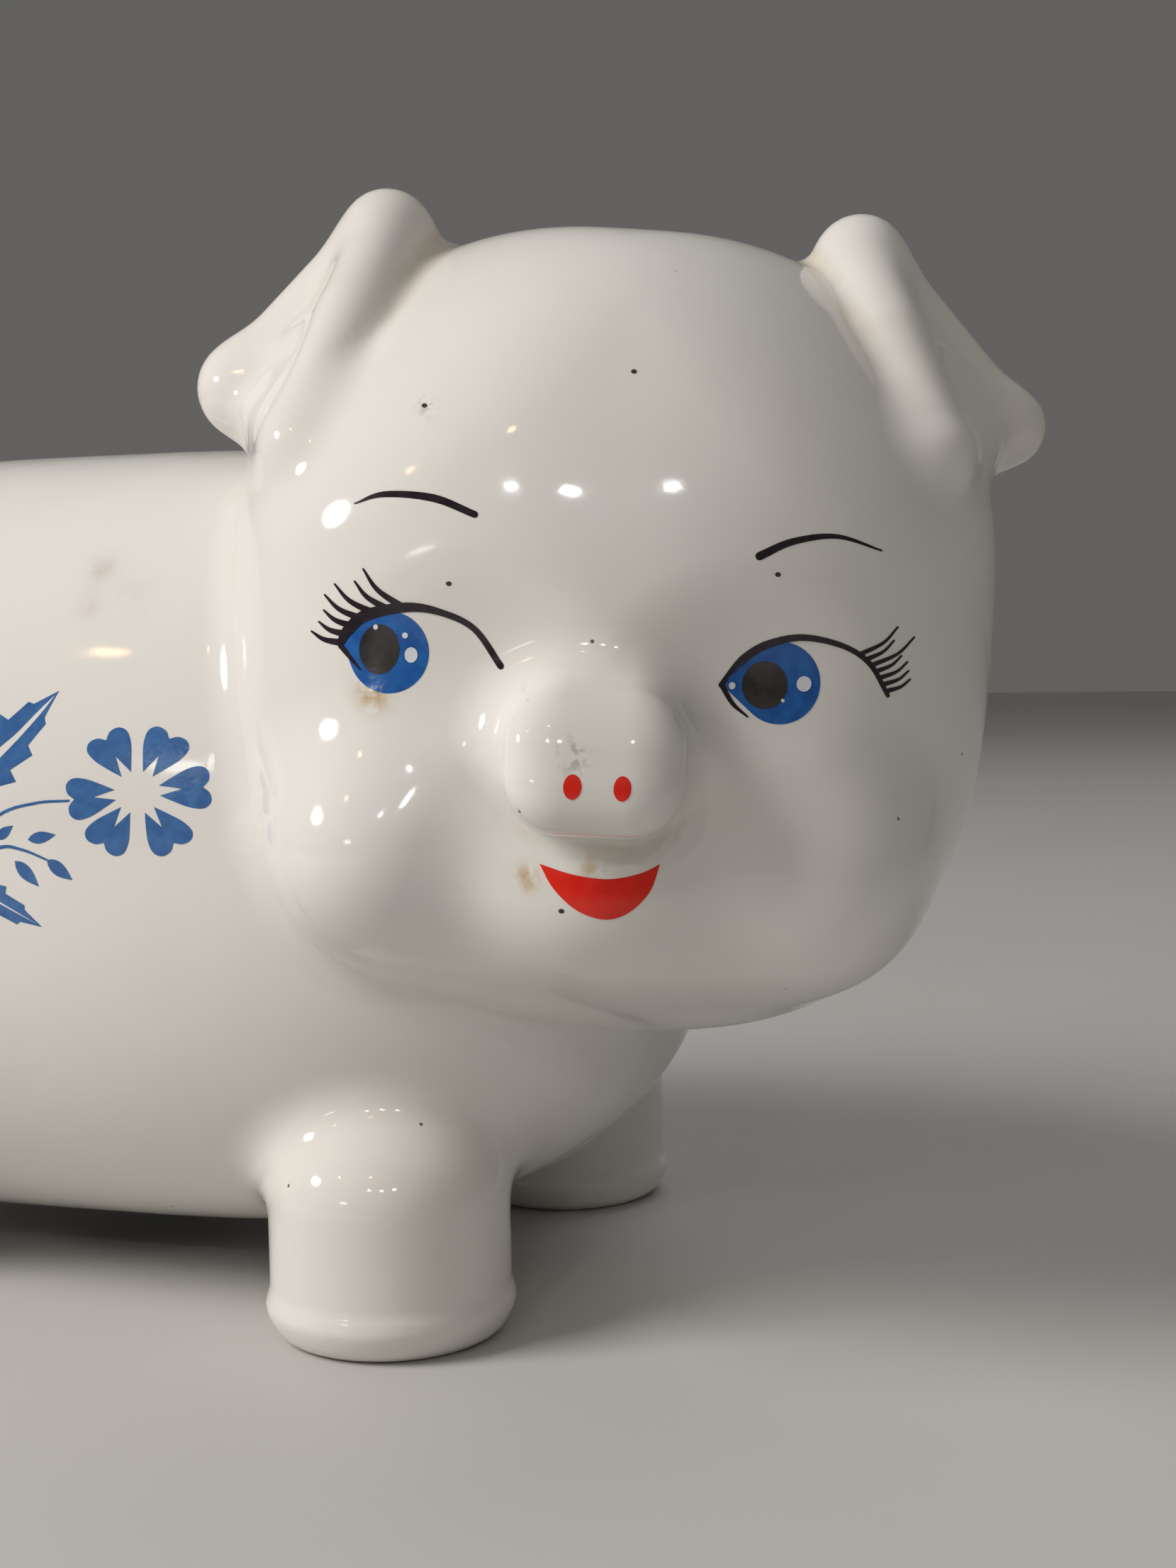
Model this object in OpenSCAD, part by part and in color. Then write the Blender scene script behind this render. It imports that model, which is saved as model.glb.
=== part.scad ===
// Piggy bank: a hollow glazed ceramic pig that stands on four short legs and looks over its
// right shoulder. Coins go in through a slot in the back and come out at a rubber stopper in
// the belly. The castings are modelled as separate pieces that meet face to face.
// The pig is designed with its nose-to-tail line along X, and the origin on the floor below the
// front legs; centred() then moves the origin to the middle of the whole bank.

/* [Trunk] */
// Length of the trunk, chest to rump
trunk_len = 251; // [235:1:265]
// Width of the trunk
trunk_w = 156; // [150:1:162]
// Height of the trunk
trunk_h = 164; // [158:1:168]
// Gap between the floor and the belly
belly_gap = 8.5; // [8:0.5:12]
// How far the chest stands in front of the front legs
chest_lead = 47; // [42:1:52]

/* [Head] */
// Width of the head across the cheeks
head_w = 143; // [136:1:148]
// Depth of the head, back of the skull to the face
head_d = 116; // [108:1:122]
// Height of the head
head_h = 149; // [142:1:154]
// Distance from the front legs to the middle of the head, along the pig
head_lead = 39; // [34:1:44]
// Distance from the spine to the middle of the head, towards the side it looks to
head_side = 30.5; // [26:0.5:34]
// Height of the middle of the head above the floor
head_z = 132; // [126:1:138]
// Turn of the face from square to the flank towards the chest
head_turn = 17.5; // [12:0.5:22]
// Sideways tilt of the head
head_tilt = 4.5; // [0:0.5:8]

/* [Legs] */
// Diameter of a leg
leg_d = 46; // [42:1:48]
// Distance between the left and right legs, middle to middle
leg_track = 106; // [98:1:108]
// Distance between the front and rear legs, middle to middle
leg_base = 150; // [130:1:155]
// Radius of the edge of a foot
foot_round = 6; // [3:0.5:8]

/* [Ears] */
// Radius of the rolled edge of an ear
ear_round = 5.5; // [4.5:0.5:6.5]

/* [Bank] */
// Thickness of the cast wall
wall = 5.5; // [4.5:0.5:6.5]
// Length of the coin slot
slot_len = 42; // [36:1:50]
// Width of the coin slot
slot_w = 5; // [4.5:0.5:6]
// Diameter of the coin outlet that the stopper fills
outlet_d = 32; // [28:1:34]
// Diameter of the stopper's flange
flange_d = 40; // [38:1:42]

/* [Hidden] */

GLAZE = [0.93, 0.92, 0.88];
RUBBER = [0.16, 0.15, 0.15];

// Squareness of the trunk: across it, and along it towards the ends. 2 is an ellipse.
TRUNK_SECTION = 2.5;
TRUNK_ENDS = 3.2;
// Squareness of the head: of its outline from the front, and from front to back
HEAD_OUTLINE = 2.75;
HEAD_DEPTH = 2.3;
// Cheeks: middle in the head's own frame, how far they swell, and how wide
CHEEK = [42, -42, -26];
CHEEK_SWELL = 7;
CHEEK_SPREAD = 20;

trunk_mid = [chest_lead - trunk_len / 2, 0, belly_gap + trunk_h / 2];
trunk_half = [trunk_len, trunk_w, trunk_h] / 2;
head_mid = [head_lead, -head_side, head_z];
// The head's own frame: X to its left, -Y out of its face, Z up
head_half = [head_w, head_d, head_h] / 2;
inset = [wall, wall, wall];

// Corners of an ear in the head's frame, for the pig's left ear: peak, tip, root in front,
// root on the crown and root behind
EAR_PEAK = [45, -4, 75];
EAR_TIP = [74, -4, 41.5];
EAR_FRONT = [66, -14, 29];
EAR_CROWN = [28, 4, 66];
EAR_BACK = [58, 8, 36];

// Snout: a rounded box whose top slopes down to its front face, in the head's frame
SNOUT_FRONT_Y = -76;
SNOUT_BACK_Y = -45;
SNOUT_W = 31;
SNOUT_FRONT_TOP = -12;
SNOUT_BACK_TOP = -3;
SNOUT_BOTTOM = -33;
SNOUT_ROUND = 8;

// Tail: a curl lying on the rump
TAIL_TURNS = 1.35;
TAIL_OUTER = 17;
TAIL_INNER = 5;
TAIL_THICK = 5.5;
TAIL_THIN = 3;
TAIL_RISE = 28;
TAIL_STEPS = 30;
TAIL_SIDES = 12;
TAIL_PROUD = 3;

// Stopper: the outlet's seat is sunk into the belly, and a ring thickens the wall round it
slot_x = trunk_mid.x;
outlet_x = trunk_mid.x;
SEAT_SINK = 2;
SEAT_GAP = 1;
SEAT_RING = 6;
FIT = 0.05;
FLANGE_T = 2;
FLANGE_LIFT = 0.2;
NOSE = 1;
DIMPLE_D = 18;
DIMPLE_SINK = 0.8;
seat_z = belly_gap + SEAT_SINK;
neck_len = wall + NOSE;

// A leg's bore and the thickness of its foot
leg_bore_r = leg_d / 2 - 6.5;
FOOT_T = 7;
LEG_STRAIGHT = 42;

// Facets: round the long axis, and along it
OUTER_ROUND = 48;
OUTER_ALONG = 26;
INNER_ROUND = 32;
INNER_ALONG = 18;

// ---- head frame to pig frame ----
function turn_y(p, a) = [p.x * cos(a) + p.z * sin(a), p.y, p.z * cos(a) - p.x * sin(a)];
function turn_z(p, a) = [p.x * cos(a) - p.y * sin(a), p.x * sin(a) + p.y * cos(a), p.z];
function from_head(p) = head_mid + turn_z(turn_y(p, head_tilt), head_turn);

// ---- whole bank's extent, for the origin ----
x_front = from_head(EAR_TIP).x + ear_round;
x_rear = trunk_mid.x - trunk_half.x - TAIL_THICK - TAIL_PROUD;
y_left = trunk_half.y;
snout_corner = [SNOUT_W / 2, -SNOUT_FRONT_Y, -SNOUT_BOTTOM] - [1, 1, 1] * SNOUT_ROUND;
y_right = from_head(-snout_corner).y - SNOUT_ROUND;
bank_mid = [(x_front + x_rear) / 2, (y_left + y_right) / 2, 0];

module centred() {
  translate(-bank_mid) children();
}

module on_head() {
  translate(head_mid) rotate([0, head_tilt, head_turn]) children();
}

// ---- rounded solids with a squareness ----
function root(x, n) = sign(x) * pow(abs(x), 2 / n);

// Rings along Y, from -Y to +Y, without the two poles
function egg_rings(half, outline, along, round_n, along_n) = [
  for (i = [1 : along_n - 1])
    let (a = -90 + 180 * i / along_n, c = root(cos(a), along))
    for (j = [0 : round_n - 1])
      let (b = 360 * j / round_n)
      [half.x * c * root(cos(b), outline), half.y * root(sin(a), along),
       half.z * c * root(sin(b), outline)]];

function egg_faces(round_n, along_n) = let (last = round_n * (along_n - 1)) concat(
  [for (i = [0 : along_n - 3], j = [0 : round_n - 1])
    let (a = i * round_n + j, b = i * round_n + (j + 1) % round_n)
    [a, b + round_n, a + round_n]],
  [for (i = [0 : along_n - 3], j = [0 : round_n - 1])
    let (a = i * round_n + j, b = i * round_n + (j + 1) % round_n)
    [a, b, b + round_n]],
  [for (j = [0 : round_n - 1]) [last, (j + 1) % round_n, j]],
  [for (j = [0 : round_n - 1])
    [last + 1, last - round_n + j, last - round_n + (j + 1) % round_n]]);

// How far a cheek pushes a point of the head outwards
function cheek_at(p) = CHEEK_SWELL * exp(-pow(norm([abs(p.x), p.y, p.z] - CHEEK) / CHEEK_SPREAD, 2));
function with_cheeks(p) = p + cheek_at(p) * p / norm(p);

module trunk_solid(half, round_n, along_n) {
  // Y of the egg becomes the pig's X
  flipped = [half.y, half.x, half.z];
  points = concat(egg_rings(flipped, TRUNK_SECTION, TRUNK_ENDS, round_n, along_n),
                  [[0, -half.x, 0], [0, half.x, 0]]);
  translate(trunk_mid) rotate(-90) polyhedron(points, egg_faces(round_n, along_n));
}

module head_solid(half, round_n, along_n) {
  rings = egg_rings(half, HEAD_OUTLINE, HEAD_DEPTH, round_n, along_n);
  points = concat([for (p = rings) with_cheeks(p)], [[0, -half.y, 0], [0, half.y, 0]]);
  on_head() polyhedron(points, egg_faces(round_n, along_n));
}

module trunk_outside() { trunk_solid(trunk_half, OUTER_ROUND, OUTER_ALONG); }
module head_outside() { head_solid(head_half, OUTER_ROUND, OUTER_ALONG); }
module head_inside() { head_solid(head_half - inset, INNER_ROUND, INNER_ALONG); }

// ---- body shell ----
module body_shell() {
  color(GLAZE) centred() difference() {
    trunk_outside();
    difference() {
      trunk_solid(trunk_half - inset, INNER_ROUND, INNER_ALONG);
      outlet_ring();
    }
    head_inside();
    coin_slot();
    outlet();
    for (x = [0, -leg_base], side = [-1, 1]) leg_bore(x, side);
  }
}

module coin_slot() {
  straight = slot_len - slot_w;
  translate([slot_x, 0, trunk_mid.z]) linear_extrude(trunk_h) {
    square([straight, slot_w], center = true);
    for (end = [-1, 1]) translate([end * straight / 2, 0]) circle(d = slot_w, $fn = 48);
  }
}

module outlet_ring() {
  translate([outlet_x, 0, 0])
    cylinder(r = flange_d / 2 + SEAT_GAP + SEAT_RING, h = seat_z + wall, $fn = 96);
}

module outlet() {
  translate([outlet_x, 0, 0]) {
    cylinder(d = outlet_d, h = trunk_mid.z, $fn = 96);
    cylinder(r = flange_d / 2 + SEAT_GAP, h = seat_z, $fn = 96);
  }
}

// ---- head ----
module head_shell() {
  color(GLAZE) centred() difference() {
    head_outside();
    head_inside();
    trunk_outside();
  }
}

module ball(p, r) {
  translate(p) sphere(r = r, $fn = 32);
}

module snout() {
  front = -snout_corner.y;
  low = -snout_corner.z;
  color(GLAZE) centred() difference() {
    on_head() hull() for (x = [-1, 1] * snout_corner.x) {
      ball([x, front, SNOUT_FRONT_TOP - SNOUT_ROUND], SNOUT_ROUND);
      ball([x, front, low], SNOUT_ROUND);
      ball([x, SNOUT_BACK_Y, SNOUT_BACK_TOP - SNOUT_ROUND], SNOUT_ROUND);
      ball([x, SNOUT_BACK_Y, low], SNOUT_ROUND);
    }
    head_outside();
  }
}

// A triangular flap with rolled edges
module flap(corners, side) {
  hull() for (p = corners) ball([side * p.x, p.y, p.z], ear_round);
}

// side is 1 for the pig's left ear, -1 for its right one
module ear(side) {
  color(GLAZE) centred() difference() {
    on_head() {
      flap([EAR_PEAK, EAR_TIP, EAR_FRONT], side);
      flap([EAR_PEAK, EAR_FRONT, EAR_CROWN], side);
      flap([EAR_CROWN, EAR_BACK, EAR_FRONT], side);
    }
    head_outside();
    trunk_outside();
  }
}

module left_ear() { ear(1); }
module right_ear() { ear(-1); }

// ---- legs: open cups that end on the trunk ----
module leg_bore(x, side) {
  translate([x, side * leg_track / 2, 0]) {
    translate([0, 0, FOOT_T]) cylinder(r = leg_bore_r, h = LEG_STRAIGHT - FOOT_T, $fn = 96);
    translate([0, 0, LEG_STRAIGHT]) sphere(leg_bore_r, $fn = 96);
  }
}

module leg(x, side) {
  r = leg_d / 2;
  color(GLAZE) centred() difference() {
    translate([x, side * leg_track / 2, 0]) {
      rotate_extrude($fn = 96) {
        square([r - foot_round, LEG_STRAIGHT]);
        translate([0, foot_round]) square([r, LEG_STRAIGHT - foot_round]);
        translate([r - foot_round, foot_round]) circle(foot_round, $fn = 48);
      }
      translate([0, 0, LEG_STRAIGHT]) sphere(r, $fn = 96);
    }
    leg_bore(x, side);
    trunk_outside();
  }
}

module front_left_leg() { leg(0, 1); }
module front_right_leg() { leg(0, -1); }
module rear_left_leg() { leg(-leg_base, 1); }
module rear_right_leg() { leg(-leg_base, -1); }

// ---- tail ----
function tail_point(f) = let (
  a = 90 - 360 * TAIL_TURNS * f,
  r = TAIL_OUTER + (TAIL_INNER - TAIL_OUTER) * f)
  [-TAIL_PROUD, r * cos(a), r * sin(a)];

function tail_radius(f) = (TAIL_THICK + (TAIL_THIN - TAIL_THICK) * f) * (f < 1 ? 1 : 0.4);

module tail() {
  spine = [for (i = [0 : TAIL_STEPS]) tail_point(i / TAIL_STEPS)];
  rings = [for (i = [0 : TAIL_STEPS])
    let (
      ahead = spine[min(i + 1, TAIL_STEPS)] - spine[max(i - 1, 0)],
      out = cross(ahead / norm(ahead), [1, 0, 0]),
      r = tail_radius(i / TAIL_STEPS))
    for (j = [0 : TAIL_SIDES - 1])
      let (b = 360 * j / TAIL_SIDES)
      spine[i] + r * (cos(b) * out + [sin(b), 0, 0])];
  count = TAIL_SIDES;
  faces = concat(
    [for (i = [0 : TAIL_STEPS - 1], j = [0 : count - 1])
      [i * count + j, i * count + (j + 1) % count, (i + 1) * count + (j + 1) % count]],
    [for (i = [0 : TAIL_STEPS - 1], j = [0 : count - 1])
      [i * count + j, (i + 1) * count + (j + 1) % count, (i + 1) * count + j]],
    [[for (j = [count - 1 : -1 : 0]) j]],
    [[for (j = [0 : count - 1]) TAIL_STEPS * count + j]]);
  color(GLAZE) centred() difference() {
    translate([trunk_mid.x - trunk_half.x, 0, trunk_mid.z + TAIL_RISE])
      polyhedron(rings, faces);
    trunk_outside();
  }
}

// ---- rubber stopper ----
module stopper() {
  neck_r = outlet_d / 2 - FIT;
  flange_top = seat_z - FLANGE_LIFT;
  color(RUBBER) centred() translate([outlet_x, 0, 0]) difference() {
    rotate_extrude($fn = 96) polygon([
      [0, flange_top - FLANGE_T],
      [flange_d / 2 - NOSE, flange_top - FLANGE_T],
      [flange_d / 2, flange_top - FLANGE_T + NOSE],
      [flange_d / 2, flange_top],
      [neck_r, flange_top],
      [neck_r, flange_top + neck_len - NOSE],
      [neck_r - NOSE, flange_top + neck_len],
      [0, flange_top + neck_len]]);
    translate([0, 0, flange_top - FLANGE_T - 1]) cylinder(d = DIMPLE_D, h = 1 + DIMPLE_SINK, $fn = 64);
  }
}

body_shell();
head_shell();
snout();
left_ear();
right_ear();
front_left_leg();
front_right_leg();
rear_left_leg();
rear_right_leg();
tail();
stopper();
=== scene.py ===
import math

import bpy
import numpy as np
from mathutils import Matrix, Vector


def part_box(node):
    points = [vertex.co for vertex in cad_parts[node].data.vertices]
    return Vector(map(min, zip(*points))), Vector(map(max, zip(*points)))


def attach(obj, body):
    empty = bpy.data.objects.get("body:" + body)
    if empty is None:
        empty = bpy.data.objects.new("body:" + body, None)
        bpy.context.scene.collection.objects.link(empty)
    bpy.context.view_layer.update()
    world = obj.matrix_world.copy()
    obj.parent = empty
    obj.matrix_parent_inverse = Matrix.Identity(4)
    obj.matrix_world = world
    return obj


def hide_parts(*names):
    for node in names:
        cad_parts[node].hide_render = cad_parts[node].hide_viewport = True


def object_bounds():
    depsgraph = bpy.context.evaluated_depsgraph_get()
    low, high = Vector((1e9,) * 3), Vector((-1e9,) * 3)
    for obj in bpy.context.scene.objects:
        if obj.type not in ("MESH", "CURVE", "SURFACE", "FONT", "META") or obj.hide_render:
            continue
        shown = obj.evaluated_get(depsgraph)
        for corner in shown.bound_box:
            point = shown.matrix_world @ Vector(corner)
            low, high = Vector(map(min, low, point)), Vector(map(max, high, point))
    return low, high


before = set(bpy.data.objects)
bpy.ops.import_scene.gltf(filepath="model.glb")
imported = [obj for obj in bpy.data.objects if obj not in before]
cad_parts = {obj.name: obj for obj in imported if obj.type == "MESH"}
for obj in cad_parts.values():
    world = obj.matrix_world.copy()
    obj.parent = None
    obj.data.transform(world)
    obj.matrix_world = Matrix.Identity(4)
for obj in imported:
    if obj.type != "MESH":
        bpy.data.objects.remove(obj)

import openvdb
from mathutils import Matrix, Vector
from mathutils.geometry import delaunay_2d_cdt

MM = 0.001
CAD_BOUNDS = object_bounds()


def box_mm(node):
    low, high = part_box(node)
    return np.array(low) / MM, np.array(high) / MM


def between_front_legs():
    left_low, left_high = box_mm("front_left_leg")
    right_low, right_high = box_mm("front_right_leg")
    middle = (left_low + left_high + right_low + right_high) / 4
    return np.array([middle[0], middle[1], 0.0])


ORIGIN = between_front_legs()

# ---- sizes in mm, angles in radians ----
# SECTION, ENDS, OUTLINE and DEPTH are exponents: 2 gives an ellipse, and more is squarer.
TRUNK_LOW, TRUNK_HIGH = (corner - ORIGIN for corner in box_mm("body_shell"))
TRUNK_MID = (TRUNK_LOW + TRUNK_HIGH) / 2
TRUNK_HALF = (TRUNK_HIGH - TRUNK_LOW) / 2
TRUNK_SECTION = 2.5
TRUNK_ENDS = 3.2
LEG_NODES = ("front_left_leg", "front_right_leg", "rear_left_leg", "rear_right_leg")
FOOT_ROUND = 5.0
SHOULDER_Z = 26.0
SHOULDER_RISE = 20.0
LEG_FLARE = 10.0
BEAD_Z = 6.5
BEAD_R = 1.6
BEAD_PROUD = 0.5
BEAD_FILLET = 2.5
WALL = 5.5

HEAD_MID = np.array([39.0, -30.5, 132.0])
HEAD_HALF = np.array([58.0, 71.5, 75.0])
HEAD_OUTLINE = 2.75
HEAD_DEPTH = 2.3
HEAD_TURN = math.radians(17.5)
HEAD_TILT = math.radians(4.5)

SLOT_HALF = np.array([21.0, 2.5])
OUTLET_R = 16.0
SEAT_R = 21.0
SEAT_Z = 10.5
RING_R = 27.0

TAIL_RISE = 28.0
TAIL_TURNS = 1.35
TAIL_OUTER = 17.0
TAIL_INNER = 5.0
TAIL_THICK = 5.5
TAIL_THIN = 3.0
TAIL_PROUD = 3.0
TAIL_REACH = 14.0
TAIL_FAR = 20.0
TAIL_FILLET = 3.0
TAIL_STEPS = 28


# ---- distance fields ----
def smin(a, b, k):
    h = np.maximum(k - np.abs(a - b), 0.0) / k
    return np.minimum(a, b) - h * h * k * 0.25


def smax(a, b, k):
    return -smin(-a, -b, k)


def superellipsoid(p, half, section, ends):
    """The first axis has the exponent ends, the section across it the exponent section."""
    q = np.maximum(np.abs(p) / half, 1e-6)
    across = (q[:, 1] ** section + q[:, 2] ** section) ** (1 / section)
    size = (q[:, 0] ** ends + across ** ends) ** (1 / ends)
    gx = (q[:, 0] / size) ** (ends - 1) / half[0]
    ga = (across / size) ** (ends - 1)
    gy = ga * (q[:, 1] / across) ** (section - 1) / half[1]
    gz = ga * (q[:, 2] / across) ** (section - 1) / half[2]
    return (size - 1) / np.sqrt(gx * gx + gy * gy + gz * gz)


def ellipsoid(p, middle, half):
    q = (p - np.array(middle)) / np.array(half)
    k0 = np.linalg.norm(q, axis=1)
    k1 = np.linalg.norm(q / np.array(half), axis=1)
    return k0 * (k0 - 1) / np.maximum(k1, 1e-9)


def capsule(p, a, b, ra, rb):
    a = np.array(a, float)
    along = np.array(b, float) - a
    t = np.clip((p - a) @ along / (along @ along), 0, 1)
    return np.linalg.norm(p - a - t[:, None] * along, axis=1) - (ra + (rb - ra) * t)


def rounded_box(p, middle, half, edge):
    q = np.abs(p - np.array(middle)) - (np.array(half) - edge)
    return np.minimum(q.max(axis=1), 0) + np.linalg.norm(np.maximum(q, 0), axis=1) - edge


def thick_triangle(p, a, b, c, r):
    a, b, c = (np.array(v, float) for v in (a, b, c))
    sides = ((a, b - a), (b, c - b), (c, a - c))
    normal = np.cross(b - a, a - c)
    inside = sum(np.sign((p - start) @ np.cross(side, normal)) for start, side in sides) >= 2
    edge = np.full(len(p), np.inf)
    for start, side in sides:
        t = np.clip((p - start) @ side / (side @ side), 0, 1)
        edge = np.minimum(edge, ((p - start - t[:, None] * side) ** 2).sum(axis=1))
    flat = ((p - a) @ normal) ** 2 / (normal @ normal)
    return np.sqrt(np.where(inside, flat, edge)) - r


def upright_cylinder(p, x, y, r, low, high, edge):
    out = np.hypot(p[:, 0] - x, p[:, 1] - y) - (r - edge)
    up = np.abs(p[:, 2] - (low + high) / 2) - ((high - low) / 2 - edge)
    return np.minimum(np.maximum(out, up), 0) + np.hypot(np.maximum(out, 0), np.maximum(up, 0)) - edge


# ---- body ----
def leg_places():
    """The middle and the radius of each leg."""
    for node in LEG_NODES:
        low, high = (corner - ORIGIN for corner in box_mm(node))
        yield (low[0] + high[0]) / 2, (low[1] + high[1]) / 2, (high[0] - low[0]) / 2


LEGS = list(leg_places())


def tail_point(f):
    """The middle of the tail at the fraction f of its turns, from the outer end inwards."""
    angle = math.radians(90 - 360 * TAIL_TURNS * f)
    r = TAIL_OUTER + (TAIL_INNER - TAIL_OUTER) * f
    height = TRUNK_MID[2] + TAIL_RISE + r * math.sin(angle)
    return np.array([TRUNK_LOW[0] - TAIL_PROUD, r * math.cos(angle), height])


def tail(p):
    """A flat coil. Its two halves are joined with a fillet where the turns overlap."""
    d = np.full(len(p), TAIL_FAR)
    near = p[:, 0] < TRUNK_LOW[0] + TAIL_REACH
    q = p[near]
    halves = [np.full(len(q), TAIL_FAR), np.full(len(q), TAIL_FAR)]
    for i in range(TAIL_STEPS):
        a, b = i / TAIL_STEPS, (i + 1) / TAIL_STEPS
        ra, rb = (TAIL_THICK + (TAIL_THIN - TAIL_THICK) * f for f in (a, b))
        half = 2 * i // TAIL_STEPS
        length = capsule(q, tail_point(a), tail_point(b), ra, rb)
        halves[half] = np.minimum(halves[half], length)
    d[near] = smin(*halves, TAIL_FILLET)
    return d


def leg(p, x, y, r):
    """An upright post with a domed shoulder, and a rolled bead just above the foot."""
    post = upright_cylinder(p, x, y, r, 0, SHOULDER_Z + FOOT_ROUND, FOOT_ROUND)
    shoulder = ellipsoid(p, (x, y, SHOULDER_Z), (r, r, SHOULDER_RISE))
    from_bead = np.hypot(p[:, 0] - x, p[:, 1] - y) - (r - BEAD_R + BEAD_PROUD)
    bead = np.hypot(from_bead, p[:, 2] - BEAD_Z) - BEAD_R
    return smin(np.minimum(post, shoulder), bead, BEAD_FILLET)


def body(p):
    d = superellipsoid(p - TRUNK_MID, TRUNK_HALF, TRUNK_SECTION, TRUNK_ENDS)
    for x, y, r in LEGS:
        d = smin(d, leg(p, x, y, r), LEG_FLARE)
    return smin(d, tail(p), TAIL_FILLET)


# ---- head ----
def head_axes():
    turn = np.array(Matrix.Rotation(HEAD_TURN, 3, "Z") @ Matrix.Rotation(HEAD_TILT, 3, "Y"))
    return turn @ np.array([[1, 0, 0], [0, -1, 0], [0, 0, 1]]).T


AXES = head_axes()


def to_head(p):
    return (p - HEAD_MID) @ AXES


def from_head(h):
    return h @ AXES.T + HEAD_MID


def ramp(x, low, high):
    """0 below low, 1 above high, and a smooth rise between."""
    t = np.clip((x - low) / (high - low), 0, 1)
    return t * t * (3 - 2 * t)


# Places and half sizes in the head frame. Those with a u above 0 are mirrored for the other side.
CORNER_MID = np.array([46.0, 23.0, 55.0])
CORNER_WAY = np.array([0.545, 0.53, 0.65])
CORNER_ROUND = 14.0
SOCKET = ((28, 68, -6), (20, 12, 12))
CHEEK = ((36, 34, -40), (22, 24, 21))
CHEEK_FILLET = 12.0
MUZZLE = ((0, 36, -45), (24, 24, 18))
MUZZLE_FILLET = 14.0
SNOUT_MID = (-1.5, 54.0, -21.0)
SNOUT_HALF = (14.8, 22.0, 12.2)
SNOUT_EDGE = 9.8
SNOUT_FRONT_W = 76.0
SNOUT_FRONT_V = -27.0
SNOUT_LEAN = math.radians(16)
SNOUT_RIM = 7.0
SNOUT_FILLET = 2.5
SNOUT_FILLET_ABOVE = 8.0


def snout(h):
    """A rounded block whose front leans back a little towards its top."""
    block = rounded_box(h, SNOUT_MID, SNOUT_HALF, SNOUT_EDGE)
    forwards = (h[:, 1] - SNOUT_FRONT_W) * math.cos(SNOUT_LEAN)
    upwards = (h[:, 2] - SNOUT_FRONT_V) * math.sin(SNOUT_LEAN)
    return smax(block, forwards + upwards, SNOUT_RIM)


def face(h):
    """The head without its ears: rounded upper corners, eye sockets, cheeks, muzzle and snout."""
    d = superellipsoid(h[:, [1, 0, 2]], HEAD_HALF, HEAD_OUTLINE, HEAD_DEPTH)
    for side in (-1, 1):
        q = h * [side, 1, 1]
        d = smax(d, (q - CORNER_MID) @ CORNER_WAY, CORNER_ROUND)
        d = smax(d, -ellipsoid(q, *SOCKET), CHEEK_FILLET)
        d = smin(d, ellipsoid(q, *CHEEK), CHEEK_FILLET)
    d = smin(d, ellipsoid(h, *MUZZLE), MUZZLE_FILLET)
    fillet = SNOUT_FILLET + SNOUT_FILLET_ABOVE * ramp(h[:, 2], -33, -18)
    return smin(d, snout(h), fillet)


# -1 is the ear on the camera's left. Its tip is rounder and hangs lower, and its ridge runs further
# down the head.
EARS = {
    -1: {"peak": (46.5, 2.0, 71.6), "knee": (49.5, 20.0, 54.0), "foot": (57.0, 28.0, 31.0),
         "tip": (71.6, 0.0, 42.0), "tip_r": 8.6},
    1: {"peak": (42.5, 2.0, 72.2), "knee": (46.5, 19.0, 56.0), "foot": (55.0, 29.0, 36.0),
        "tip": (72.3, 0.0, 43.5), "tip_r": 6.2},
}
EAR_EDGE_R = 7.2
EAR_TIP_STEP = 1.0
EAR_RIDGE_R = 6.0
EAR_RIDGE_STEPS = 8
EAR_FLAP_R = 4.2
EAR_INNER_R = 3.6
EAR_CROWN_R = 3.4
EAR_BACK_R = 4.0
EAR_HEM = (37.0, 14.0, 52.0)
EAR_CROWN = (28.0, -8.0, 66.0)
EAR_BACK = (58.0, -8.0, 36.0)
EAR_TIP_FILLET = 6.0
EAR_FLAP_FILLET = 3.0
EAR_RIDGE_FILLET = 7.0
EAR_FOLD_FILLET = 5.0
EAR_ROOT_FILLET = 3.5
EAR_ROOT_FILLET_BELOW = 5.0


def ear_ridge(q, peak, knee, foot):
    """A round ridge along an arc from the peak through the knee to the foot."""
    peak, knee, foot = (np.array(v) for v in (peak, knee, foot))
    pull = 2 * knee - (peak + foot) / 2
    steps = np.linspace(0, 1, EAR_RIDGE_STEPS + 1)
    arc = [(1 - f) ** 2 * peak + 2 * f * (1 - f) * pull + f * f * foot for f in steps]
    r = np.linspace(EAR_EDGE_R, EAR_RIDGE_R, EAR_RIDGE_STEPS + 1)
    lengths = [capsule(q, *arc[i:i + 2], *r[i:i + 2]) for i in range(EAR_RIDGE_STEPS)]
    return np.minimum.reduce(lengths)


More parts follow.
